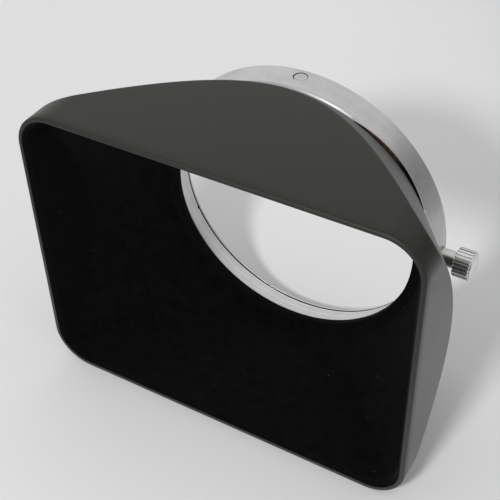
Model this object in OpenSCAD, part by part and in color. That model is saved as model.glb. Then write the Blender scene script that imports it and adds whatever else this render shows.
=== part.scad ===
// Rectangular clamp-on lens hood.
// A black pressed-metal shell opens from a round neck to a rectangular front. Its inside is flocked.
// A plated ring is fixed behind it. A thumbscrew in the ring's side pushes a spring band onto the lens barrel.
// Frame: Y is the optical axis, the front opens towards -Y and the lens comes in from +Y, Z is up.
// The origin is on the optical axis, halfway along the spring band.

/* [Hood shell] */
// Width of the front opening, between the metal walls
opening_w = 80; // [78:0.5:88]
// Height of the front opening, between the metal walls
opening_h = 62.4; // [62.4:0.2:70]
// Thickness of the shell's metal
wall = 1.1; // [1:0.1:1.3]
// Outer radius of the four upright corners
corner_r = 8; // [6:0.5:10]
// Distance from the front of the rim to the end of the rear cone
shell_depth = 31.26; // [30:0.1:36]
// Radius at which the rear cone ends
cone_end_r = 31.2; // [31.1:0.1:31.3]
// Half angle of the rear cone, from the optical axis
cone_angle = 34.7; // [33:0.1:36]
// Thickness of the flocked lining
flock_t = 0.4; // [0.3:0.1:0.5]

/* [Neck] */
// Radius of the short neck behind the cone
neck_r = 30.4; // [30.2:0.1:30.8]
// Distance from the end of the cone to the rear of the neck
neck_len = 0.94; // [0.9:0.02:1]
// Thickness of the flange inside the neck
flange_t = 1; // [0.9:0.1:1.1]
// Radius of the flocked hole that the light passes through
hole_r = 27.45; // [26:0.05:27.6]
// Number of countersunk screws that hold the shell to the ring
flange_screw_count = 4; // [3:1:8]
// Diameter of a flange screw's shank
flange_screw_d = 1.2; // [1:0.1:1.3]
// Diameter of a flange screw's countersunk head
flange_screw_head_d = 1.9; // [1.6:0.1:1.9]

/* [Lens ring] */
// Outer radius of the ring
ring_r = 31.7; // [31.6:0.05:32]
// Distance from the band's centre plane to the rear of the ring
ring_rear = 2.45; // [2.4:0.05:3]
// Radius of the groove that the spring band lies in
groove_r = 30.1; // [30.05:0.05:30.2]
// Inner radius of the front land, which the lens barrel stops against
land_r = 28.2; // [28:0.05:28.3]
// Inner radius of the rear lip
lip_r = 28.85; // [28.85:0.01:29]
// Thickness of the rear lip along the axis
lip_t = 0.45; // [0.4:0.05:0.5]
// Thickness of the collar that covers the end of the cone
collar_t = 0.55; // [0.5:0.01:0.6]
// Depth of the shallow scallop in the collar towards each corner of the hood
scallop_depth = 1.2; // [0.8:0.05:1.25]
// Half of a scallop's angular width
scallop_half_angle = 21; // [15:1:25]

/* [Spring band] */
// Inner radius of the relaxed band, which clears a 57 mm lens barrel
bore_r = 28.8; // [28.75:0.05:28.85]
// Thickness of the band
band_t = 0.5; // [0.4:0.05:0.5]
// Width of the band along the axis
band_w = 3.7; // [3.5:0.05:3.8]
// Angle above the right-hand side at which the band starts, past its rivet
band_start = 100; // [96:1:105]
// Angular length of the band, from its riveted end to its free end
band_sweep = 342; // [200:1:345]
// Angle of the locating notch in the band's rear edge
notch_angle = -157; // [-165:1:-150]

/* [Thumbscrew] */
// Diameter of the knob over its knurl
knob_d = 6; // [5:0.1:6.2]
// Length of the knurled part of the knob
knob_len = 3.4; // [2.5:0.1:4]
// Height of the smooth cap on the end of the knob
cap_h = 0.45; // [0.3:0.05:0.6]
// Number of ridges round the knob
ridge_count = 24; // [20:1:28]
// Depth of the grooves between the ridges
ridge_depth = 0.28; // [0.2:0.01:0.32]
// Distance from the optical axis to the knob's inner face
knob_x = 34.95; // [34:0.05:36]
// Diameter over the stud's thread
thread_d = 3.8; // [3.6:0.1:3.8]
// Length of the stud's thread
thread_len = 1.55; // [1.4:0.05:1.6]
// Diameter of the stud's smooth neck
stud_neck_d = 3.5; // [3.2:0.1:3.6]
// Diameter of the pressure pad
pad_d = 3; // [2.6:0.1:3.2]
// Thickness of the pressure pad
pad_t = 0.6; // [0.5:0.05:0.65]

/* [Hidden] */

$fn = 160;
eps = 0.01;                                      // overlap that joins the pieces of one solid
fit = 0.05;                                      // radial clearance of a running fit
cut = 5;                                         // how far a long cutter runs past the metal
over = 1;                                        // how far a short cutter runs past the metal
diagonal = 45;                                   // direction of the first corner, above the +X side

// Stations along the optical axis
groove_y = -band_w / 2 - fit;                    // front wall of the groove
land_t = 1.05;                                   // thickness of the land in front of the groove
neck_y = groove_y - land_t;                      // rear of the neck, which sits on the land
cone_y = neck_y - neck_len;                      // end of the rear cone
front_y = cone_y - shell_depth;                  // front of the rim
flange_y = neck_y - flange_t;                    // inner face of the flange
lip_y = ring_rear - lip_t;                       // front face of the rear lip

// Shell
outer_w = opening_w + 2 * wall;
outer_h = opening_h + 2 * wall;
cone_k = 1 / tan(cone_angle);                    // forward run of the cone per mm of radius
cone_slant = 1 / sin(cone_angle);                // forward shift of the cone per mm of wall
cone_small_r = 20;                               // the cone solid's ends, inside and outside the shell
cone_big_r = 60;
rim_r = wall / 2;                                // the rim is rounded over its whole thickness
rim_len = 2;                                     // length of the rim's own pieces
lining_y = front_y + 0.6;                        // front edge of the lining
sleeve_r = hole_r + flock_t;                     // hole in the metal, which the lining covers
screw_circle_r = 28.9;                           // the flange screws' places
screw_head_h = 0.5;
screw_slot = 0.25;

// Ring
seat_gap = 0.08;                                 // between the collar and the cone
ring_edge = 0.25;                                // bevel on the ring's outer edges
lip_bevel = 0.15;
scallop_half_w = ring_r * sin(scallop_half_angle);
scallop_r = (pow(scallop_half_w, 2) + pow(scallop_depth, 2)) / (2 * scallop_depth);
scallop_fn = 720;                                // keeps so large a circle smooth
notch_r = 0.35;

// Rivet, from the ring's top towards the axis
rivet_head_r = 1.35;
rivet_head_h = 0.4;
rivet_shank_r = 0.9;
rivet_shoulder_r = 1.3;
rivet_tail_r = 0.7;
rivet_tail_head_r = 1.05;
rivet_tail_head_h = 0.25;
shoulder_z = bore_r + band_t + fit;              // under the shoulder, just clear of the band

// Thumbscrew, outwards along +X
pad_x = bore_r + band_t + fit;                   // the pad's face, just clear of the band
pad_stem_r = 0.6;
pad_stem_len = 1;
stud_x = pad_x + pad_t + fit;                    // inner end of the stud
thread_bevel = 0.2;
spigot_r = 1.3;                                  // the stud's end inside the knob
spigot_len = 2.2;
cap_r = knob_d / 2 - 0.25;
cap_edge = 0.25;                                 // drop of the domed cap at its edge
dome_r = (pow(cap_r, 2) + pow(cap_edge, 2)) / (2 * cap_edge);
groove_tool_r = 0.22;                            // cutter for the grooves between the ridges
groove_tool_fn = 32;
mouth_bevel = 0.2;

// Lays children that are drawn along +Z along +Y, towards the lens
module along_y() {
    rotate([-90, 0, 0]) children();
}

// Points children that are drawn along +Z outwards, at an angle from +X towards +Z
module outwards(angle) {
    rotate([0, 90 - angle, 0]) children();
}

// A solid of revolution about the optical axis, from points given as [radius, y]
module turned(points) {
    along_y() rotate_extrude() polygon(points);
}

// A rectangle with round corners
module round_rectangle(w, h, r) {
    square([w - 2 * r, h], center = true);
    square([w, h - 2 * r], center = true);
    for (x = [-1, 1], y = [-1, 1]) translate([x * (w / 2 - r), y * (h / 2 - r)]) circle(r);
}

// The space inside the shell's outer surface, moved inwards by inset, between two planes across the axis
module hood_space(inset, y0, y1) {
    tip_y = cone_y - inset * cone_slant + cone_k * cone_end_r;
    intersection() {
        translate([0, y0, 0]) along_y() linear_extrude(y1 - y0)
            round_rectangle(outer_w - 2 * inset, outer_h - 2 * inset, corner_r - inset);
        translate([0, tip_y - cone_k * cone_big_r, 0]) along_y()
            cylinder(h = cone_k * (cone_big_r - cone_small_r), r1 = cone_big_r, r2 = cone_small_r);
    }
}

// Section through the rim: a wall with a round front edge
module rim_section() {
    translate([0, rim_r]) circle(rim_r);
    translate([-rim_r, rim_r]) square([wall, rim_len - rim_r]);
}

// The front of the shell, as four straight walls and four corners
module rim() {
    side_x = outer_w / 2 - rim_r;
    side_z = outer_h / 2 - rim_r;
    for (turn = [0, 180]) rotate([0, 0, turn]) {
        translate([side_x, outer_h / 2 - corner_r, 0]) rotate([90, 0, 0])
            linear_extrude(outer_h - 2 * corner_r) rim_section();
        translate([corner_r - outer_w / 2, side_z, 0]) rotate([90, 0, 90])
            linear_extrude(outer_w - 2 * corner_r) rim_section();
        for (mirrored = [0, 1]) mirror([mirrored, 0, 0])
            translate([outer_w / 2 - corner_r, outer_h / 2 - corner_r, 0])
                rotate_extrude(angle = 90) translate([corner_r - rim_r, 0]) rim_section();
    }
}

// Places children, drawn along +Z, at each flange screw with their origin on the flange's inner face
module at_flange_screws() {
    for (i = [0:flange_screw_count - 1])
        along_y() rotate([0, 0, diagonal + i * 360 / flange_screw_count])
            translate([screw_circle_r, 0, flange_y]) children();
}

// A countersunk flange screw without its slot
module flange_screw_form() {
    cylinder(h = screw_head_h, r1 = flange_screw_head_d / 2, r2 = flange_screw_d / 2);
    cylinder(h = groove_y - flange_y, r = flange_screw_d / 2);
}

// The rivet's head and shank in the ring; the gap is round the head
module rivet_in_ring(gap) {
    outwards(90) {
        translate([0, 0, shoulder_z]) cylinder(h = ring_r - shoulder_z, r = rivet_shank_r);
        translate([0, 0, ring_r - rivet_head_h]) cylinder(h = rivet_head_h + cut, r = rivet_head_r + gap);
    }
}

// The rivet's tail in the band, with a gap all round
module rivet_in_band(gap) {
    outwards(90) {
        translate([0, 0, bore_r - over]) cylinder(h = shoulder_z - bore_r + over + eps, r = rivet_tail_r + gap);
        translate([0, 0, bore_r - over]) cylinder(h = rivet_tail_head_h + over + gap, r = rivet_tail_head_r + gap);
    }
}

module hood_shell() {
    color("#2d2e2c") {
        translate([0, front_y, 0]) along_y() rim();
        difference() {
            union() {
                hood_space(0, front_y + rim_len, cone_y);
                translate([0, cone_y - eps, 0]) along_y() cylinder(h = neck_len + eps, r = neck_r);
            }
            hood_space(wall, front_y, flange_y);
            translate([0, flange_y - cut, 0]) along_y() cylinder(h = flange_t + 2 * cut, r = sleeve_r);
            at_flange_screws() flange_screw_form();
        }
    }
}

module flock_lining() {
    color("#0e0e0e") difference() {
        union() {
            hood_space(wall, lining_y, flange_y);
            translate([0, flange_y - eps, 0]) along_y() cylinder(h = flange_t + eps, r = sleeve_r);
        }
        hood_space(wall + flock_t, lining_y - cut, flange_y - flock_t);
        translate([0, flange_y - cut, 0]) along_y() cylinder(h = flange_t + 2 * cut, r = hole_r);
    }
}

// The collar's front face follows the cone at this height
function collar_y(r) = cone_y - cone_k * (r - cone_end_r) + seat_gap * cone_slant;

module mount_ring() {
    collar_r = ring_r - collar_t;
    bevel_r = ring_r - ring_edge / 2;
    tip_y = collar_y(ring_r);
    color("#c3c5c2") difference() {
        turned([
            [land_r, neck_y], [collar_r, neck_y], [collar_r, collar_y(collar_r)],
            [bevel_r, collar_y(bevel_r)], [ring_r, tip_y + ring_edge],
            [ring_r, ring_rear - ring_edge], [ring_r - ring_edge, ring_rear],
            [lip_r + lip_bevel, ring_rear], [lip_r, ring_rear - lip_bevel], [lip_r, lip_y],
            [groove_r, lip_y], [groove_r, groove_y], [land_r, groove_y]
        ]);
        for (i = [0:3]) translate([0, tip_y + scallop_depth - scallop_r, 0]) outwards(diagonal + 90 * i)
            translate([0, 0, collar_r - over]) cylinder(h = cut, r = scallop_r, $fn = scallop_fn);
        at_flange_screws() flange_screw_form();
        rivet_in_ring(fit);
        outwards(0) {
            translate([0, 0, land_r - over]) cylinder(h = cut + over, r = thread_d / 2 + fit);
            translate([0, 0, ring_r - mouth_bevel])
                cylinder(h = 2 * mouth_bevel, r1 = thread_d / 2 + fit, r2 = thread_d / 2 + fit + 2 * mouth_bevel);
        }
    }
}

module flange_screws() {
    color("#6e6f70") at_flange_screws() difference() {
        flange_screw_form();
        translate([-flange_screw_head_d, -screw_slot / 2, -screw_slot])
            cube([2 * flange_screw_head_d, screw_slot, 2 * screw_slot]);
    }
}

module spring_band() {
    color("#b4b6b3") difference() {
        along_y() rotate([0, 0, -band_start]) rotate_extrude(angle = band_sweep)
            translate([bore_r, -band_w / 2]) square([band_t, band_w]);
        translate([0, band_w / 2, 0]) outwards(notch_angle)
            translate([0, 0, bore_r - over]) cylinder(h = band_t + 2 * over, r = notch_r);
        rivet_in_band(fit);
    }
}

module band_rivet() {
    color("#cfd0ce") {
        intersection() {
            along_y() cylinder(h = 2 * cut, r = ring_r, center = true);
            rivet_in_ring(0);
        }
        intersection() {
            along_y() cylinder(h = 2 * cut, r = groove_r, center = true);
            outwards(90) translate([0, 0, shoulder_z]) cylinder(h = cut, r = rivet_shoulder_r);
        }
        difference() {
            rivet_in_band(0);
            along_y() cylinder(h = 2 * cut, r = bore_r + fit, center = true);
        }
    }
}

module thumbscrew_knob() {
    knob_r = knob_d / 2;
    end_x = knob_x + knob_len;
    color("#c9cac8") outwards(0) difference() {
        union() {
            translate([0, 0, knob_x]) cylinder(h = knob_len, r = knob_r);
            intersection() {
                translate([0, 0, end_x - eps]) cylinder(h = cap_h + eps, r = cap_r);
                translate([0, 0, end_x + cap_h - dome_r]) sphere(dome_r);
            }
        }
        for (i = [0:ridge_count - 1]) rotate([0, 0, i * 360 / ridge_count])
            translate([knob_r + groove_tool_r - ridge_depth, 0, knob_x - over])
                cylinder(h = knob_len + 2 * over, r = groove_tool_r, $fn = groove_tool_fn);
        translate([0, 0, knob_x - over]) cylinder(h = spigot_len + over, r = spigot_r);
    }
}

module thumbscrew_stud() {
    thread_end = stud_x + thread_len;
    r = thread_d / 2;
    color("#b9bab8") outwards(0) difference() {
        rotate_extrude() polygon([
            [0, stud_x], [r - thread_bevel, stud_x], [r, stud_x + thread_bevel],
            [r, thread_end - thread_bevel], [stud_neck_d / 2, thread_end], [stud_neck_d / 2, knob_x],
            [spigot_r, knob_x], [spigot_r, knob_x + spigot_len], [0, knob_x + spigot_len]
        ]);
        translate([0, 0, stud_x - over]) cylinder(h = pad_stem_len + fit + over, r = pad_stem_r + fit);
    }
}

module pressure_pad() {
    color("#b08d4f") outwards(0) translate([0, 0, pad_x]) {
        cylinder(h = pad_t, r = pad_d / 2);
        cylinder(h = pad_t + pad_stem_len, r = pad_stem_r);
    }
}

hood_shell();
flock_lining();
mount_ring();
flange_screws();
spring_band();
band_rivet();
thumbscrew_knob();
thumbscrew_stud();
pressure_pad();
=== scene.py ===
import math
import bmesh
import bpy
import numpy as np
from mathutils import Matrix, Vector


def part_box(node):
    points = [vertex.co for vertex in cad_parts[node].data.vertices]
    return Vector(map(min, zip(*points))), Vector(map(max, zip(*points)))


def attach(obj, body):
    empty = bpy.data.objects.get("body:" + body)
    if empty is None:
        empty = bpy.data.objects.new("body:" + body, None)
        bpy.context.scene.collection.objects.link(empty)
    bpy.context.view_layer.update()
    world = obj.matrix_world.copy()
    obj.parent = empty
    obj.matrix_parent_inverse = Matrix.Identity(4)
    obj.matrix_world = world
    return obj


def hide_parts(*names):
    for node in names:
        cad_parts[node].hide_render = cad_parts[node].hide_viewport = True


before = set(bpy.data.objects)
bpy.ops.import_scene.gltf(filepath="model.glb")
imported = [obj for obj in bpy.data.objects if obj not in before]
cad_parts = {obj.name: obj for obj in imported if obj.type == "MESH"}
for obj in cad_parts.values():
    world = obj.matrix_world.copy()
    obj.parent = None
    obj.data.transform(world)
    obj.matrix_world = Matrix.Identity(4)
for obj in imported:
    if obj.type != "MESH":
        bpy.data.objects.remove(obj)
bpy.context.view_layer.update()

MM = 0.001


# ---------------------------------------------------------------- the frame, in millimetres
# x is to the right, y runs back along the optical axis, and z is up.
def box_mm(node):
    lo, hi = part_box(node)
    return np.array(lo) / MM, np.array(hi) / MM


shell_lo, shell_hi = box_mm("hood_shell")
ring_hi = box_mm("mount_ring")[1]
knob_lo, knob_hi = box_mm("thumbscrew_knob")
stud_lo, stud_hi = box_mm("thumbscrew_stud")
pad_lo = box_mm("pressure_pad")[0]
band_hi = box_mm("spring_band")[1]

HALF_W, HALF_H = shell_hi[0], shell_hi[2]      # outside of the shell's straight walls
FRONT_Y, NECK_Y = shell_lo[1], shell_hi[1]
RING_R, RING_REAR = ring_hi[0], ring_hi[1]
BAND_R1, BAND_HALF = band_hi[0], band_hi[1]
KNOB_X0, KNOB_TOP, KNOB_R = knob_lo[0], knob_hi[0], knob_hi[2]
STUD_X0, STUD_R = stud_lo[0], stud_hi[2]
PAD_X0 = pad_lo[0]

WALL = 1.1                                     # the shell's metal
FLOCK = 0.4
CORNER_R = 8.0
CONE_END_R = 31.2                              # where the shell's cone ends in its neck
CONE_ANGLE = math.radians(34.7)                # from the optical axis
CONE_K = 1 / math.tan(CONE_ANGLE)
SLANT = 1 / math.sin(CONE_ANGLE)
CONE_Y = NECK_Y - 0.94
FLANGE_Y = NECK_Y - 1.0
FLANGE_BEND_R = 29.93                          # where the inside of the cone meets the flange
NECK_R = 30.4
HOLE_R = 27.45                                 # the flocked hole for the light
SLEEVE_R = HOLE_R + FLOCK
SCREW_CIRCLE_R = 28.9                          # the four screws through the flange
SCREW_HOLE_R = 0.62
RIM_R = WALL / 2                               # the rim's rounding
UV_STEP = 0.0005                               # between two rows of the shell's and the lining's grid
SLEEVE_GAP = 0.02                              # between the lining's sleeve and the shell's hole
PAST = 0.3                                     # how far a cutter for a screw reaches past a face

COLLAR_R = RING_R - 0.55                       # inside of the ring's collar
GROOVE_R, GROOVE_Y = 30.1, NECK_Y + 1.05       # the band's groove
LIP_R, LIP_Y = 28.85, RING_REAR - 0.45
LAND_R = 28.2
SEAT = 0.08 * SLANT                            # the collar's gap to the cone
SCALLOP = 1.2                                  # how deep a scallop cuts into the collar's edge
SCALLOP_HALF = math.radians(21)
SCALLOP_W = RING_R * math.sin(SCALLOP_HALF)
SCALLOP_R = (SCALLOP_W ** 2 + SCALLOP ** 2) / (2 * SCALLOP)

BAND_T = 0.5
BAND_MIDDLE_R = 29.05
BAND_FROM, BAND_TO = 100, -242                 # degrees, from one side of its split round to the other
HEAD_R, HEAD_SHIFT, HEAD_BASE = 1.36, 0.07, 31.3     # the rivet's head, and the floor of its recess
RECESS_R = 1.47
RIVET_NECK_R = 0.9
BORE_R = 1.95                                  # the thumbscrew's hole through the ring


def cone_y(radius, inset=0.0):
    """Where the cone, moved inwards by inset, has this radius."""
    return CONE_Y - inset * SLANT - CONE_K * (radius - CONE_END_R)


TIP_Y = cone_y(RING_R) + SEAT


# ---------------------------------------------------------------- mesh helpers
def mesh_object(name, verts, faces, uv, smooth_angle):
    """A mesh from millimetre points, with outward normals and smooth shading."""
    me = bpy.data.meshes.new(name)
    me.from_pydata((np.asarray(verts, float) * MM).tolist(), [], faces)
    me.validate()
    me.update()
    ob = bpy.data.objects.new(name, me)
    bpy.context.scene.collection.objects.link(ob)
    layer = me.uv_layers.new(name="UVMap")
    loops = np.zeros(len(me.loops), np.int64)
    me.loops.foreach_get("vertex_index", loops)
    layer.data.foreach_set("uv", np.asarray(uv, float)[loops].ravel())
    bm = bmesh.new()
    bm.from_mesh(me)
    bmesh.ops.remove_doubles(bm, verts=bm.verts, dist=1e-9)
    bmesh.ops.dissolve_degenerate(bm, edges=bm.edges, dist=1e-9)
    bmesh.ops.recalc_face_normals(bm, faces=bm.faces)
    bm.to_mesh(me)
    bm.free()
    shade(me, smooth_angle)
    me.update()
    return ob


def shade(me, smooth_angle):
    me.polygons.foreach_set("use_smooth", [True] * len(me.polygons))
    me.set_sharp_from_angle(angle=math.radians(smooth_angle))


def grid(name, rows, uv, close_u=True, close_v=True, smooth_angle=38.0):
    """rows: (nv, nu, 3). The grid closes round u, and round v for a ring-like solid."""
    rows = np.asarray(rows, float)
    nv, nu = rows.shape[:2]
    faces = []
    for j in range(nv if close_v else nv - 1):
        a, b = j * nu, ((j + 1) % nv) * nu
        for i in range(nu if close_u else nu - 1):
            k = (i + 1) % nu
            faces.append((a + i, a + k, b + k, b + i))
    if not close_u:                            # an open strip round v: cap both ends
        faces.append([j * nu for j in range(nv)])
        faces.append([j * nu + nu - 1 for j in range(nv)][::-1])
    return mesh_object(name, rows.reshape(-1, 3), faces, np.asarray(uv, float).reshape(-1, 2), smooth_angle)


def lathe(name, profile, axis, n, smooth_angle=38.0, shape=None):
    """Turns (radius, along) points about the x or z axis. shape(th, r, s) gives the radii round a row."""
    prof = np.asarray(profile, float)
    th = np.linspace(0, 2 * np.pi, n, endpoint=False)
    run = np.r_[0, np.cumsum(np.hypot(*np.diff(prof, axis=0).T))]
    rows, uv = [], []
    for (r, s), v in zip(prof, run):
        rr = np.full(n, r) if shape is None else shape(th, r, s)
        c, d, along = rr * np.cos(th), rr * np.sin(th), np.full(n, s)
        rows.append(np.c_[along, c, d] if axis == "x" else np.c_[c, d, along])
        uv.append(np.c_[th * max(prof[:, 0]) * MM, np.full(n, v * MM)])
    return grid(name, rows, uv, close_v=False, smooth_angle=smooth_angle)


def rounded(points, radius, steps):
    """Replaces the middle corners of an open 2-D line by small curves. radius: a number, or one per point."""
    pts = [np.array(p, float) for p in points]
    rad = radius if isinstance(radius, list) else [radius] * len(pts)
    out = [pts[0]]
    for i in range(1, len(pts) - 1):
        a, b, c, r = pts[i - 1], pts[i], pts[i + 1], rad[i]
        if r <= 0:
            out.append(b)
            continue
        la, lc = np.linalg.norm(a - b), np.linalg.norm(c - b)
        d = min(r, 0.45 * la, 0.45 * lc)       # neighbouring curves never meet
        p, q = b + (a - b) / la * d, b + (c - b) / lc * d
        for t in np.linspace(0, 1, steps + 1):
            out.append((1 - t) ** 2 * p + 2 * t * (1 - t) * b + t * t * q)
    out.append(pts[-1])
    return np.array(out)


def supported(profile, gap=0.06, limit=0.3):
    """Adds points close to the ends of runs over the limit, so that smooth shading stays flat along them."""
    out = [profile[0]]
    for a, b in zip(profile[:-1], profile[1:]):
        length = np.linalg.norm(b - a)
        if length > limit:
            out.append(a + (b - a) * gap / length)
            out.append(b - (b - a) * gap / length)
        out.append(b)
    return np.array(out)


def boolean_cut(ob, cutters, smooth_angle=38):
    """Cuts the cutters from ob and applies the result to its mesh."""
    for c in cutters:
        m = ob.modifiers.new("cut", "BOOLEAN")
        m.operation, m.solver, m.object = "DIFFERENCE", "EXACT", c
    bpy.context.view_layer.update()
    dg = bpy.context.evaluated_depsgraph_get()
    new = bpy.data.meshes.new_from_object(ob.evaluated_get(dg))
    old = ob.data
    ob.modifiers.clear()
    ob.data = new
    bpy.data.meshes.remove(old)
    for c in cutters:
        me = c.data
        bpy.data.objects.remove(c)
        bpy.data.meshes.remove(me)
    shade(new, smooth_angle)
    return ob


def cutter(profile, direction, n=96):
    """A closed lathe along a direction through the origin, for cutting."""
    ob = lathe("cutter", profile, "z", n)
    z = Vector(direction).normalized()
    ob.data.transform(z.to_track_quat("Z", "Y").to_matrix().to_4x4())
    return ob


def at_flange_screws(profile):
    """Cutters for the four screws that hold the shell to the ring."""
    out = []
    for i in range(4):
        a = math.radians(45 + 90 * i)
        ob = cutter(profile, (0, 1, 0), 32)
        r = SCREW_CIRCLE_R * MM
        ob.data.transform(Matrix.Translation((r * math.cos(a), 0, r * math.sin(a))))
        out.append(ob)
    return out


# ---------------------------------------------------------------- material helpers
class Nodes:
    """A material with one Principled shader, and short calls for its nodes."""

    def __init__(self, name):
        self.mat = bpy.data.materials.new(name)
        self.mat.use_nodes = True
        self.tree = self.mat.node_tree
        self.tree.nodes.clear()
        self.out = self.tree.nodes.new("ShaderNodeOutputMaterial")
        self.bsdf = self.tree.nodes.new("ShaderNodeBsdfPrincipled")
        self.link(self.bsdf.outputs[0], self.out.inputs[0])

    def link(self, a, b):
        self.tree.links.new(a, b)

    def set(self, **values):
        for key, v in values.items():
            self.bsdf.inputs[key.replace("_", " ")].default_value = v

    def feed(self, name, socket):
        self.link(socket, self.bsdf.inputs[name])

    def coords(self, kind="Object"):
        return self.tree.nodes.new("ShaderNodeTexCoord").outputs[kind]

    def mapped(self, vector, scale):
        n = self.tree.nodes.new("ShaderNodeMapping")
        n.inputs["Scale"].default_value = scale
        self.link(vector, n.inputs["Vector"])
        return n.outputs[0]

    def noise(self, vector, scale, detail, rough):
        n = self.tree.nodes.new("ShaderNodeTexNoise")
        n.inputs["Scale"].default_value = scale
        n.inputs["Detail"].default_value = detail
        n.inputs["Roughness"].default_value = rough
        self.link(vector, n.inputs["Vector"])
        return n.outputs["Fac"]

    def cells(self, vector, scale):
        """The distance to the middle of the nearest cell."""
        n = self.tree.nodes.new("ShaderNodeTexVoronoi")
        n.inputs["Scale"].default_value = scale
        self.link(vector, n.inputs["Vector"])
        return n.outputs["Distance"]

    def ramp(self, fac, stops):
        n = self.tree.nodes.new("ShaderNodeValToRGB")
        el = n.color_ramp.elements
        while len(el) > 1:
            el.remove(el[-1])
        for i, (pos, col) in enumerate(stops):
            e = el[0] if i == 0 else el.new(pos)
            e.position = pos
            e.color = (col, col, col, 1) if isinstance(col, (int, float)) else (*col, 1)
        self.link(fac, n.inputs[0])
        return n.outputs[0]

    def mix(self, fac, a, b, mode="MIX"):
        """a and b are colours or sockets, and fac is a number or a socket."""
        n = self.tree.nodes.new("ShaderNodeMix")
        n.data_type, n.blend_type = "RGBA", mode
        for sock, v in ((n.inputs[0], fac), (n.inputs[6], a), (n.inputs[7], b)):
            if hasattr(v, "is_linked"):
                self.link(v, sock)
            else:
                sock.default_value = v if isinstance(v, (int, float)) else (*v, 1)
        return n.outputs[2]

    def math(self, op, a, b=0.0, clamp=False):
        n = self.tree.nodes.new("ShaderNodeMath")
        n.operation, n.use_clamp = op, clamp
        for sock, v in zip(n.inputs, (a, b)):
            if hasattr(v, "is_linked"):
                self.link(v, sock)
            else:
                sock.default_value = v
        return n.outputs[0]

    def add(self, a, b, clamp=False):
        return self.math("ADD", a, b, clamp)

    def sub(self, a, b, clamp=False):
        return self.math("SUBTRACT", a, b, clamp)

    def mul(self, a, b, clamp=False):
        return self.math("MULTIPLY", a, b, clamp)

    def length(self, a, b):
        return self.math("SQRT", self.add(self.mul(a, a), self.mul(b, b)))

    def within(self, a, limit):
        """1 where a lies between -limit and limit."""
        return self.math("LESS_THAN", self.math("ABSOLUTE", a), limit)

    def split(self, vector):
        n = self.tree.nodes.new("ShaderNodeSeparateXYZ")
        self.link(vector, n.inputs[0])
        return n.outputs

    def bump(self, height, strength, distance, under=None):
        n = self.tree.nodes.new("ShaderNodeBump")
        n.inputs["Strength"].default_value = strength
        n.inputs["Distance"].default_value = distance
        self.link(height, n.inputs["Height"])
        if under is not None:
            self.link(under, n.inputs["Normal"])
        return n.outputs[0]

    def attribute(self, name):
        n = self.tree.nodes.new("ShaderNodeAttribute")
        n.attribute_name = name
        return n.outputs["Fac"]


def black_paint():
    m = Nodes("black_satin_paint")
    p = m.coords()
    _, y, z = m.split(p)
    fine = m.noise(p, 5200, 4, 0.6)
    broad = m.noise(p, 90, 3, 0.5)
    dust = m.ramp(m.noise(p, 2600, 2, 0.5), [(0.70, 0.0), (0.80, 1.0)])
    tone = m.mix(broad, (0.0068, 0.0068, 0.0050), (0.0098, 0.0098, 0.0074))

    def towards_rim(start, length):
        """0 from start mm behind the front, and 1 from length mm nearer to it."""
        return m.mul(m.add(y, -(FRONT_Y + start) * MM), -1 / (length * MM), clamp=True)

    rim_painted_light = m.sub(0.50, m.mul(z, 26.0), clamp=True)                 # painted light: the rim is painted lighter grey, fading out towards the top
    tone = m.mix(m.mul(towards_rim(0.95, 0.45), rim_painted_light), tone, (0.029, 0.0285, 0.0255))
    m.feed("Base Color", m.mix(m.mul(dust, 0.25), tone, (0.07, 0.07, 0.066)))
    rough = m.add(m.mul(broad, 0.08), 0.34)
    rough = m.add(rough, m.mul(towards_rim(2.2, 1.6), 0.14))      # the rim is dull all round
    sides = m.math("POWER", m.math("ABSOLUTE", m.split(m.coords("Normal"))[0]), 4.0)
    rough = m.sub(rough, m.mul(sides, 0.09))                      # the short sides are polished by handling
    m.feed("Roughness", m.add(rough, m.mul(fine, 0.06)))
    m.set(IOR=1.5, Specular_IOR_Level=0.40, Sheen_Weight=0.125, Sheen_Roughness=0.3)
    m.feed("Normal", m.bump(fine, 0.22, 0.00004))
    return m.mat


def flock():
    m = Nodes("black_flock")
    p = m.coords()
    fibre = m.noise(p, 9000, 2, 0.7)
    tuft = m.noise(p, 1500, 4, 0.65)
    broad = m.noise(p, 60, 3, 0.5)
    base = m.ramp(tuft, [(0.30, (0.0014, 0.0014, 0.0015)), (0.72, (0.0038, 0.0037, 0.0036))])
    base = m.mix(broad, base, (0.0024, 0.0024, 0.0024))
    patch = m.ramp(m.noise(p, 420, 3, 0.6), [(0.35, 0.65), (0.70, 1.45)])
    base = m.mix(1.0, base, patch, "MULTIPLY")
    lint = m.ramp(m.cells(p, 330), [(0.045, 1.0), (0.065, 0.0)])
    some = m.ramp(m.noise(p, 600, 1, 0.5), [(0.52, 0.0), (0.66, 1.0)])
    m.feed("Base Color", m.mix(m.mul(lint, some), base, (0.055, 0.054, 0.050)))
    m.set(Roughness=0.95, Specular_IOR_Level=0.06, Sheen_Weight=0.02, Sheen_Roughness=0.5)
    m.feed("Normal", m.bump(fibre, 0.6, 0.00005, m.bump(tuft, 0.5, 0.00014)))
    return m.mat


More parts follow.
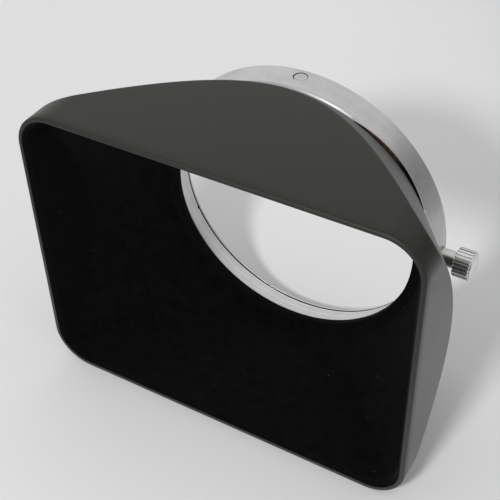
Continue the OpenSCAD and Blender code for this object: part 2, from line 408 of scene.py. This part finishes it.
def ring_wear_and_shade(m, p, col, rough):
    """The ring's bare, worn scallops with painted shade on their lower part, and the dark lines of painted
    shade beside the band and the rivet's head.
    """
    x, y, z = m.split(p)
    out = m.length(x, z)                                          # from the optical axis
    faces = m.math("LESS_THAN", m.split(m.coords("Normal"))[1], -0.95)
    front = m.mul(faces, m.math("GREATER_THAN", out, 30.5 * MM))
    blot = m.noise(p, 1500, 4, 0.65)
    brass = m.ramp(blot, [(0.36, (0.22, 0.13, 0.10)), (0.56, (0.55, 0.32, 0.24)), (0.72, (0.75, 0.58, 0.50))])
    lit = m.add(m.mul(m.sub(z, x), 160.0), 0.55, clamp=True)      # brass above, and painted shade lower down, where the cut faces are painted dark
    col = m.mix(front, col, m.mix(lit, (0.035, 0.032, 0.028), brass))
    rough = m.add(rough, m.mul(front, 0.25))
    m.feed("Metallic", m.sub(1.0, m.mul(front, 0.65)))
    # painted shade: the band's groove is painted dark
    groove = m.mul(m.within(m.sub(out, 29.6 * MM), 0.62 * MM), m.within(y, 2.02 * MM))
    col = m.mix(m.mul(groove, 0.9), col, (0.03, 0.03, 0.03))
    # painted shade: the walls of the rivet's recess are painted dark
    recess = m.mul(m.math("LESS_THAN", m.length(x, y), 1.49 * MM), m.math("GREATER_THAN", z, 29 * MM))
    col = m.mix(m.mul(recess, 0.95), col, (0.02, 0.02, 0.02))
    return col, rough


def plated(name, tone, rough=0.27, brushing=0.10, groove_dark=None, ring=False):
    """Chrome or nickel plate with fine turning marks that run round it."""
    m = Nodes(name)
    uv = m.coords("UV")
    p = m.coords()
    lines = m.noise(m.mapped(uv, (60, 9000, 1)), 1.0, 4, 0.65)
    patches = m.noise(p, 260, 3, 0.55)
    streaks = m.ramp(m.noise(m.mapped(uv, (18, 2600, 1)), 1.0, 3, 0.6), [(0.30, 0.90), (0.70, 1.06)])
    col = m.mix(m.ramp(patches, [(0.35, 0.0), (0.70, 1.0)]), tone, tuple(c * 0.90 for c in tone))
    col = m.mix(1.0, col, streaks, "MULTIPLY")
    pits = m.ramp(m.cells(p, 900), [(0.030, 1.0), (0.045, 0.0)])
    few = m.ramp(m.noise(p, 500, 1, 0.5), [(0.60, 0.0), (0.66, 1.0)])
    col = m.mix(m.mul(pits, few), col, (0.16, 0.15, 0.14))
    # darker where the mesh's attribute is set, in the knurl's grooves
    if groove_dark:
        col = m.mix(m.attribute(groove_dark), col, (0.05, 0.048, 0.045))
    r = m.add(m.mul(lines, brushing), rough - brushing / 2)
    r = m.add(r, m.mul(patches, 0.06))
    if ring:
        col, r = ring_wear_and_shade(m, p, col, r)
    else:
        m.set(Metallic=1.0)
    m.feed("Base Color", col)
    m.feed("Roughness", r)
    m.feed("Normal", m.bump(lines, 0.10, 0.00002))
    return m.mat


def pad_brass():
    m = Nodes("turned_brass")
    blot = m.noise(m.coords(), 1400, 4, 0.6)
    turn = m.noise(m.mapped(m.coords("UV"), (60, 12000, 1)), 1.0, 3, 0.6)
    m.feed("Base Color", m.mix(blot, (0.62, 0.43, 0.18), (0.44, 0.29, 0.12)))
    m.feed("Roughness", m.add(m.mul(turn, 0.25), 0.22))
    m.set(Metallic=1.0)
    m.feed("Normal", m.bump(turn, 0.2, 0.00002))
    return m.mat


def screw_steel():
    m = Nodes("dull_steel")
    blot = m.noise(m.coords(), 2500, 4, 0.6)
    m.feed("Base Color", m.mix(blot, (0.34, 0.34, 0.35), (0.20, 0.20, 0.21)))
    m.feed("Roughness", m.add(m.mul(blot, 0.25), 0.3))
    m.set(Metallic=1.0)
    m.feed("Normal", m.bump(blot, 0.25, 0.00003))
    return m.mat


# ---------------------------------------------------------------- the shell's shape
def outline():
    """Points on the outside of the straight walls, with their outward normals, round the optical axis."""
    cx, cz = HALF_W - CORNER_R, HALF_H - CORNER_R
    tall, wide, turn = 90, 124, 36             # points along each side and corner
    pts, nrm = [], []

    def side(a, b, n, steps):
        for t in np.arange(steps) / steps:
            pts.append((a[0] + (b[0] - a[0]) * t, a[1] + (b[1] - a[1]) * t))
            nrm.append(n)

    def corner(x, z, start):
        for t in np.arange(turn) / turn:
            a = start + t * math.pi / 2
            pts.append((x + CORNER_R * math.cos(a), z + CORNER_R * math.sin(a)))
            nrm.append((math.cos(a), math.sin(a)))

    side((HALF_W, -cz), (HALF_W, cz), (1, 0), tall)
    corner(cx, cz, 0)
    side((cx, HALF_H), (-cx, HALF_H), (0, 1), wide)
    corner(-cx, cz, math.pi / 2)
    side((-HALF_W, cz), (-HALF_W, -cz), (-1, 0), tall)
    corner(-cx, -cz, math.pi)
    side((-cx, -HALF_H), (cx, -HALF_H), (0, -1), wide)
    corner(cx, -cz, 1.5 * math.pi)
    return np.array(pts), np.array(nrm, float)


OUT_P, OUT_N = outline()
RUN = np.r_[0, np.cumsum(np.hypot(*np.diff(np.r_[OUT_P, OUT_P[:1]], axis=0).T))][:-1]


def wall_row(inset, y):
    """The straight wall, moved inwards by inset, at y."""
    q = OUT_P - OUT_N * inset
    return np.c_[q[:, 0], np.broadcast_to(y, len(q)), q[:, 1]]


def cone_row(inset, r):
    """The cone, moved inwards by inset, at radius r."""
    q = OUT_P - OUT_N * inset
    d = q / np.linalg.norm(q, axis=1)[:, None]
    r = np.broadcast_to(r, len(q))
    return np.c_[d[:, 0] * r, cone_y(r, inset), d[:, 1] * r]


def round_row(r, y):
    d = OUT_P / np.linalg.norm(OUT_P, axis=1)[:, None]
    return np.c_[d[:, 0] * r, np.full(len(d), y), d[:, 1] * r]


def skin_rows(inset, y_start, leg, r_end, walls=9, cones=11):
    """Rows along one skin of the shell, from the front along the wall, round the bend and down the cone."""
    big_r = np.linalg.norm(OUT_P - OUT_N * inset, axis=1)
    y_edge = cone_y(big_r, inset)
    leg = np.minimum(leg, 0.42 * (big_r - r_end) / math.sin(CONE_ANGLE))
    r_b = big_r - leg * math.sin(CONE_ANGLE)
    y_a = y_edge - leg
    rows = [wall_row(inset, y_start + (y_a - y_start) * t) for t in np.linspace(0, 1, walls)]
    a, e, b = wall_row(inset, y_a), wall_row(inset, y_edge), cone_row(inset, r_b)
    rows += [(1 - t) ** 2 * a + 2 * t * (1 - t) * e + t * t * b for t in np.linspace(0, 1, 8)[1:]]
    rows += [cone_row(inset, r_b + (r_end - r_b) * t) for t in np.linspace(0, 1, cones)[1:]]
    return rows


def wall_uv(rows):
    return np.stack([np.c_[RUN * MM, np.full(len(RUN), j * UV_STEP)] for j in range(len(rows))])


def make_shell():
    squareness = 0.9                           # 1 would be a half circle
    end_r = CONE_END_R + 0.12                  # where the small curve at the cone's end starts
    rows = []
    for a in np.linspace(math.pi, 0, 23):      # the rounded rim, from the inside to the outside
        c, d = (math.copysign(abs(v) ** squareness, v) for v in (math.cos(a), math.sin(a)))
        rows.append(wall_row(RIM_R - RIM_R * c, FRONT_Y + RIM_R - RIM_R * d))
    skin_y = FRONT_Y + RIM_R + 0.08
    rows += skin_rows(0.0, skin_y, 0.40, end_r)
    neck = [(end_r, cone_y(end_r)), (CONE_END_R, CONE_Y), (NECK_R, CONE_Y), (NECK_R, NECK_Y),
            (SLEEVE_R + SLEEVE_GAP, NECK_Y), (SLEEVE_R + SLEEVE_GAP, FLANGE_Y), (FLANGE_BEND_R, FLANGE_Y)]
    rows += [round_row(r, y) for r, y in rounded(neck, 0.08, 3)[1:-1]]
    rows += skin_rows(WALL, skin_y, 0.30, FLANGE_BEND_R)[::-1]
    ob = grid("shell", rows, wall_uv(rows), smooth_angle=50)
    countersink = [(0, FLANGE_Y - PAST), (1.2, FLANGE_Y - PAST), (0.97, FLANGE_Y),
                   (SCREW_HOLE_R, FLANGE_Y + 0.5), (SCREW_HOLE_R, NECK_Y + PAST), (0, NECK_Y + PAST)]
    return boolean_cut(ob, at_flange_screws(countersink), 50)


def make_lining():
    inset = WALL + FLOCK
    under = WALL - 0.04                        # its hidden back, just inside the shell's metal
    edge = FRONT_Y + 0.6                       # where the CAD's lining ends
    face = FLANGE_Y - FLOCK
    r_face = CONE_END_R + (CONE_Y - inset * SLANT - face) / CONE_K
    end_r = r_face + 0.3                       # where the curve between its cone and its face starts
    # Fibres reach round the rim's inner part: degrees round its curve, and how far they stand off it.
    lap = ((143, -0.05), (135, -0.04), (131, 0.03), (136, 0.05), (142, 0.07), (149, 0.09), (157, 0.11),
           (166, 0.14))
    rows = []
    for a, fluff in lap:
        c, d = math.cos(math.radians(a)), math.sin(math.radians(a))
        rows.append(wall_row(RIM_R - (RIM_R + fluff) * c, FRONT_Y + RIM_R - (RIM_R + min(fluff, 0.03)) * d))
    for t in np.linspace(0.35, 1, 4):          # then the lining thickens
        rows.append(wall_row(WALL + FLOCK * t, edge + 0.35 * t))
    rows += skin_rows(inset, edge + 0.55, 1.1, end_r, walls=12, cones=14)
    hole = [(end_r, face - (end_r - r_face) * CONE_K), (r_face, face), (HOLE_R, face), (HOLE_R, NECK_Y),
            (SLEEVE_R - SLEEVE_GAP, NECK_Y), (SLEEVE_R - SLEEVE_GAP, FLANGE_Y - 0.05)]
    rows += [round_row(r, y) for r, y in rounded(hole, [0, 0.5, 0.25, 0.12, 0, 0], 5)[1:]]
    back_r = np.linalg.norm(OUT_P - OUT_N * under, axis=1)
    rows += [cone_row(under, 30.2), wall_row(under, cone_y(back_r, under))]
    return grid("lining", rows, wall_uv(rows), smooth_angle=60)


# ---------------------------------------------------------------- the ring
def make_ring():
    n = 1440
    phi = np.linspace(0, 2 * np.pi, n, endpoint=False)
    off = phi % (math.pi / 2) - math.pi / 4    # from the nearest scallop's middle
    depth = np.clip(1 - (np.abs(off) / SCALLOP_HALF) ** 2, 0, 1)
    chamfer, least = 0.42, 0.06                # on the front edge; it all but ends at a scallop
    bevel = chamfer - (chamfer - least) * np.clip(depth * 8, 0, 1)

    def front(r):
        """The collar's front edge: on the cone, or further back in a scallop."""
        s = r * np.sin(off)
        cut = TIP_Y + SCALLOP - SCALLOP_R + np.sqrt(np.maximum(SCALLOP_R ** 2 - s ** 2, 0))
        return np.maximum(cone_y(r) + SEAT, cut)

    def row(r, y):
        r = np.broadcast_to(r, n)
        return np.c_[r * np.cos(phi), np.broadcast_to(y, n), r * np.sin(phi)]

    lip = RING_R - bevel
    tip = front(RING_R - 0.12)
    rows = [row(COLLAR_R + 0.04, front(COLLAR_R + 0.04)),
            row(lip - 0.03, np.maximum(front(RING_R - 0.16), tip))]
    rows += [row(lip + bevel * t, tip + bevel * t) for t in (0, 0.25, 0.5, 0.75, 1)]
    for y in np.linspace(-1.9, 1.9, 14):
        rows.append(row(RING_R, np.maximum(y, tip + bevel + 0.05) if y < -1 else y))
    section = [(RING_R, 1.95), (RING_R, RING_REAR), (LIP_R, RING_REAR), (LIP_R, LIP_Y), (GROOVE_R, LIP_Y),
               (GROOVE_R, GROOVE_Y), (LAND_R, GROOVE_Y), (LAND_R, NECK_Y), (COLLAR_R, NECK_Y),
               (COLLAR_R, -3.2)]
    radii = [0, 0.28, 0.16, 0.05, 0, 0, 0.06, 0.06, 0, 0]
    rows += [row(r, y) for r, y in supported(rounded(section, radii, 4))]
    rows.append(row(COLLAR_R, front(COLLAR_R) + 0.04))
    rows[-2][:, 1] = np.maximum(rows[-2][:, 1], rows[-1][:, 1] + 0.01)
    rows = np.array(rows)
    dist = np.r_[0, np.cumsum([np.linalg.norm(rows[j + 1, 0] - rows[j, 0]) for j in range(len(rows) - 1)])]
    uv = np.stack([np.c_[phi * RING_R * MM, np.full(n, d * MM)] for d in dist])
    ob = grid("clamp_ring", rows, uv, smooth_angle=35)

    mouth = 0.2                                # the bore's chamfer
    bore = [(0, 26.5), (BORE_R, 26.5), (BORE_R, RING_R - mouth), (BORE_R + mouth * 2.2, RING_R + mouth * 1.2),
            (0, RING_R + mouth * 1.2)]
    recess = [(0, 29.0), (RIVET_NECK_R, 29.0), (RIVET_NECK_R, HEAD_BASE), (RECESS_R, HEAD_BASE),
              (RECESS_R, RING_R - 0.03), (RECESS_R + 0.03, RING_R + 0.02), (RECESS_R + 0.03, 33), (0, 33)]
    screws = [(0, NECK_Y - 0.5), (SCREW_HOLE_R, NECK_Y - 0.5), (SCREW_HOLE_R, GROOVE_Y + PAST),
              (0, GROOVE_Y + PAST)]
    return boolean_cut(ob, [cutter(bore, (1, 0, 0)), cutter(recess, (0, 0, 1))] + at_flange_screws(screws))


def make_band():
    n = 1500
    phi = np.radians(np.linspace(BAND_FROM, BAND_TO, n))
    notch_at, notch_r = math.radians(-157), 0.35
    off = (phi - notch_at) * BAND_MIDDLE_R
    r0, r1, h, b = BAND_R1 - BAND_T, BAND_R1, BAND_HALF, 0.06      # b: its bevels
    rear = h - 0.22 - np.sqrt(np.maximum(notch_r ** 2 - off ** 2, 0))
    loop = [(r0 + b, -h), (r1 - b, -h), (r1, -h + b), (r1, 0.0), (r1, rear - b), (r1 - b, rear),
            (r0 + b, rear), (r0, rear - b), (r0, 0.0), (r0, -h + b)]
    rows = [np.c_[r * np.cos(phi), np.broadcast_to(y, n), r * np.sin(phi)] for r, y in loop]
    round_it = 0.008                           # about the length of its section's outline, in metres
    uv = np.stack([np.c_[phi * 29 * MM, np.full(n, d)] for d in np.linspace(0, round_it, len(rows))])
    ob = grid("band", rows, uv, close_u=False, smooth_angle=35)
    rivet_hole = [(0, 27.5), (1.12, 27.5), (1.10, 29.08), (0.75, 29.08), (0.75, 30.5), (0, 30.5)]
    return boolean_cut(ob, [cutter(rivet_hole, (0, 0, 1))])


def make_rivet():
    n = 96
    th = np.linspace(0, 2 * np.pi, n, endpoint=False)

    def row(r, z=None, on=None, drop=0.0, shift=0.0):
        """A circle at height z, or drop below the cylinder of radius on."""
        x, y = r * np.cos(th) + shift, r * np.sin(th)
        return np.c_[x, y, np.full(n, z) if on is None else np.sqrt(on ** 2 - x ** 2) - drop]

    head = ((1e-6, 0.0), (0.4, 0.0), (0.8, 0.0), (1.05, 0.005), (1.20, 0.015), (1.29, 0.045), (1.35, 0.10),
            (HEAD_R, 0.17))
    rows = [row(r, on=RING_R, drop=d, shift=HEAD_SHIFT) for r, d in head]
    rows += [row(r, z=HEAD_BASE, shift=HEAD_SHIFT) for r in (HEAD_R, RIVET_NECK_R)]
    rows += [row(r, on=GROOVE_R, drop=d) for r, d in ((RIVET_NECK_R, 0.02), (1.25, 0.02), (1.3, 0.07))]
    rows += [row(r, z=z) for r, z in ((1.3, 29.40), (1.25, 29.35), (0.7, 29.35), (0.7, 29.10), (1.05, 29.10))]
    rows += [row(r, on=on) for r, on in ((1.05, 28.92), (0.98, 28.86), (0.5, 28.85), (1e-6, 28.85))]
    uv = np.stack([np.c_[th * 0.00135, np.full(n, j * 0.0002)] for j in range(len(rows))])
    return grid("rivet", rows, uv, close_v=False, smooth_angle=35)


# ---------------------------------------------------------------- the thumbscrew and its pad
def make_knob():
    ridges, per = 24, 14
    x0, x1 = KNOB_X0, KNOB_X0 + 3.4            # the knurled part
    socket_r, socket_x = 1.30, x0 + 2.2        # the stud is fixed in it
    R = KNOB_R
    cap = R - 0.35                             # the smooth end
    root, smooth_to = 2.72, 2.70
    crown = 0.16                               # the end's rounding
    prof = [(socket_r, socket_x), (socket_r, x0 + 0.02), (socket_r + 0.04, x0), (2.55, x0), (root, x0 + 0.02),
            (R - 0.10, x0 + 0.04), (R - 0.03, x0 + 0.10), (R, x0 + 0.22)]
    prof += [(R, x) for x in np.linspace(x0 + 0.5, x1 - 0.5, 5)]
    prof += [(R, x1 - 0.22), (R - 0.03, x1 - 0.10), (R - 0.12, x1 - 0.03), (root + 0.02, x1),
             (cap + 0.03, x1), (cap, x1 + 0.02), (cap, x1 + 0.10)]
    for a in np.linspace(0.15, 1, 6) * math.pi / 2:
        prof.append((cap - crown + crown * math.cos(a), x1 + 0.12 + crown * math.sin(a)))
    end_x = x1 + 0.12 + crown
    for r in (2.3, 2.0, 1.5, 1.0, 0.5, 1e-6):
        prof.append((r, end_x + (KNOB_TOP - end_x) * (1 - (r / (cap - crown)) ** 2)))
    prof.append((1e-6, socket_x))

    def shape(th, r, s):
        t = (th * ridges / (2 * np.pi)) % 1.0
        u = np.abs(t - 0.5) / 0.27
        groove = 0.27 * np.sqrt(np.clip(1 - u ** 2, 0, 1)) * np.clip(1.25 - 0.35 * u, 0, 1)
        return r - groove * np.clip((r - smooth_to) / (R - root), 0, 1)

    ob = lathe("knob", prof, "x", ridges * per, smooth_angle=42, shape=shape)
    me = ob.data
    co = np.zeros(len(me.vertices) * 3)
    me.vertices.foreach_get("co", co)
    co = co.reshape(-1, 3) / MM
    x, rad = co[:, 0], np.hypot(co[:, 1], co[:, 2])
    rim_painted_light = np.clip((R - 0.10 - rad) / 0.16, 0, 1) * (rad > cap + 0.02) * (x > x0 + 0.1) * (x < x1 - 0.02)
    at = me.attributes.new("groove_dark", "FLOAT", "POINT")   # darker in the knurl's grooves
    at.data.foreach_set("value", (rim_painted_light * 0.08).astype(np.float32))
    return ob


def make_stud():
    R, lead = STUD_R, 0.5                      # lead: the thread's pitch
    x0, x1, x2 = STUD_X0, STUD_X0 + 1.55, KNOB_X0       # the thread, then the neck, then the knob
    neck = 1.75
    hole_r, hole_x = 0.65, x0 + 1.05           # the pad's pin turns in it
    tail_r, tail_x = 1.28, x2 + 2.18           # fixed in the knob
    prof = [(1e-6, hole_x), (hole_r, hole_x), (hole_r, x0 + 0.03), (hole_r + 0.03, x0), (R - 0.30, x0),
            (R - 0.27, x0 + 0.03)]
    prof += [(R, x) for x in np.arange(x0 + 0.06, x1 - 0.03, 0.035)]
    prof += [(neck, x1)] + [(neck, x) for x in np.linspace(x1 + 0.1, x2 - 0.06, 8)]
    prof += [(neck - 0.03, x2), (tail_r, x2), (tail_r, tail_x), (1e-6, tail_x)]

    def shape(th, r, s):
        if r < R - 0.01:
            return np.full(len(th), r)
        t = ((s - x0) / lead + th / (2 * np.pi)) % 1.0
        groove = 0.26 * np.abs(2 * t - 1)
        run_in = np.clip((s - x0) / 0.35, 0, 1)
        run_out = np.clip((x1 - s) / 0.2, 0, 1)
        return R - groove - (1 - run_in) * 0.12 - (1 - run_out) * 0.05

    return lathe("stud", prof, "x", 120, smooth_angle=40, shape=shape)


def make_pad():
    x0, x1, x2 = PAD_X0, PAD_X0 + 0.6, PAD_X0 + 1.6     # the disc, then its pin
    disc_r, pin_r = 1.5, 0.6
    side = [(1e-6, x0), (disc_r, x0), (disc_r, x1), (pin_r, x1), (pin_r, x2), (1e-6, x2)]
    return lathe("pad", supported(rounded(side, [0, 0.12, 0.06, 0.03, 0.1, 0], 4)), "x", 96, smooth_angle=40)


# ---------------------------------------------------------------- build
def put(ob, material, body, slot, *nodes):
    ob.data.materials.clear()
    ob.data.materials.append(material)
    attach(ob, body)
    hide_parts(*nodes)


chrome = plated("satin_chrome", (0.64, 0.65, 0.64), ring=True)
put(make_shell(), black_paint(), "hood", "black_paint", "hood_shell")
put(make_lining(), flock(), "hood", "black_flock", "flock_lining")
put(make_ring(), chrome, "hood", "satin_chrome", "mount_ring")
put(make_rivet(), plated("rivet_metal", (0.62, 0.63, 0.62), 0.30), "hood", "rivet_metal", "band_rivet")
put(make_band(), plated("band_metal", (0.76, 0.77, 0.76), 0.44), "band", "band_metal", "spring_band")
put(make_knob(), plated("knob_chrome", (0.88, 0.88, 0.87), 0.20, 0.06, groove_dark="groove_dark"),
    "thumbscrew", "knob_chrome", "thumbscrew_knob")
put(make_stud(), plated("stud_chrome", (0.66, 0.66, 0.65), 0.18, 0.08),
    "thumbscrew", "stud_chrome", "thumbscrew_stud")
put(make_pad(), pad_brass(), "pad", "pad_brass", "pressure_pad")
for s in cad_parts["flange_screws"].material_slots:
    s.material = screw_steel()

# ---------------------------------------------------------------- camera, floor and light
CAMERA_AT = (0.0794119, -0.1514283, 0.1373985)
RIGHT = Vector((0.86507, 0.501158, -0.022225))          # fitted to the object's edges in the photo
DOWN = Vector((0.314983, -0.577121, -0.75347))
AHEAD = Vector((-0.390434, 0.644804, -0.657107))
FLOOR_HALF, FLOOR_DROP = 3.0, 0.0002
KEY_AT, KEY_SIZE, KEY_POWER = (0.010, -0.390, 0.287), (0.078, 0.058), 1.47
ROOM = 0.855

scene = bpy.context.scene
cam = bpy.data.cameras.new("camera")
cam.lens, cam.sensor_width = 75.43, 36.0
cam.clip_start, cam.clip_end = 0.005, 20
cam_ob = bpy.data.objects.new("camera", cam)
scene.collection.objects.link(cam_ob)
cam_ob.matrix_world = Matrix.Translation(CAMERA_AT) @ Matrix((RIGHT, -DOWN, -AHEAD)).transposed().to_4x4()
scene.camera = cam_ob


def pale_paper():
    """Paper painted dark behind the hood, to the right, as painted shade that the ring and the knob reflect.
    Its tone evens out the key light's falloff.
    """
    m = Nodes("pale_paper")
    p = m.coords()
    x, y = m.split(p)[:2]
    away = m.add(m.mul(x, 0.90), m.mul(y, 0.43))
    # painted shade: the paper far behind the hood is painted dark grey
    far_painted_shade = m.ramp(m.mul(away, 2.0), [(0.0, 0.0), (0.10, 0.10), (0.16, 0.32), (0.34, 1.0)])
    from_key = m.length(m.sub(x, 0.022), m.add(y, 0.39))
    paper = m.ramp(from_key, [(0.33, 0.695), (0.54, 0.885)])
    mottle = m.mix(m.noise(p, 30, 3, 0.5), (0.98, 0.98, 0.98), (1.0, 1.0, 0.997))
    near = m.mix(1.0, paper, mottle, "MULTIPLY")
    m.feed("Base Color", m.mix(far_painted_shade, near, (0.42, 0.42, 0.42)))
    m.set(Roughness=1.0, Specular_IOR_Level=0.05)
    m.feed("Normal", m.bump(m.noise(p, 900, 3, 0.6), 0.05, 0.0001))
    return m.mat


floor_me = bpy.data.meshes.new("floor")
floor_me.from_pydata([(x * FLOOR_HALF, y * FLOOR_HALF, 0) for x, y in ((-1, -1), (1, -1), (1, 1), (-1, 1))],
                     [], [(0, 1, 2, 3)])
floor_me.materials.append(pale_paper())
floor = bpy.data.objects.new("floor", floor_me)
scene.collection.objects.link(floor)
floor.location.z = shell_lo[2] * MM - FLOOR_DROP

key = bpy.data.lights.new("key", "AREA")       # the only light
key.shape, key.energy = "ELLIPSE", KEY_POWER
key.size, key.size_y = KEY_SIZE
key_ob = bpy.data.objects.new("key", key)
scene.collection.objects.link(key_ob)
key_ob.location = KEY_AT
key_ob.rotation_euler = (-Vector(KEY_AT)).to_track_quat("-Z", "Y").to_euler()

world = bpy.data.worlds.new("studio")
scene.world = world
world.use_nodes = True
wt = world.node_tree


def sky(direction, start, end, rim_painted_light):
    """How bright the room is: 1 away from the direction, low towards it."""
    dot = wt.nodes.new("ShaderNodeVectorMath")
    dot.operation = "DOT_PRODUCT"
    wt.links.new(wt.nodes.new("ShaderNodeTexCoord").outputs["Generated"], dot.inputs[0])
    dot.inputs[1].default_value = Vector(direction).normalized()
    ramp = wt.nodes.new("ShaderNodeMapRange")
    ramp.interpolation_type = "SMOOTHSTEP"
    for k, v in zip(range(1, 5), (start, end, 1.0, rim_painted_light)):
        ramp.inputs[k].default_value = v
    wt.links.new(dot.outputs["Value"], ramp.inputs[0])
    return ramp.outputs[0]


def product(a, b):
    n = wt.nodes.new("ShaderNodeMath")
    n.operation = "MULTIPLY"
    wt.links.new(a, n.inputs[0])
    wt.links.new(b, n.inputs[1])
    return n.outputs[0]


behind = sky((0.66, 0.75, -0.08), 0.77, 1.0, 0.30)      # dark, as the ring and the knob reflect it
right = sky((0.9, 0.1, 0.4), -1.0, 1.0, 0.85)
before = sky((-0.1, -1.0, 0.15), 0.1, 0.9, 0.45)
room = product(behind, product(right, before))
tint = wt.nodes.new("ShaderNodeCombineColor")
for k in range(3):
    wt.links.new(room, tint.inputs[k])
bg = wt.nodes["Background"]
wt.links.new(tint.outputs[0], bg.inputs["Color"])
bg.inputs["Strength"].default_value = ROOM
scene.view_settings.view_transform = "Standard"
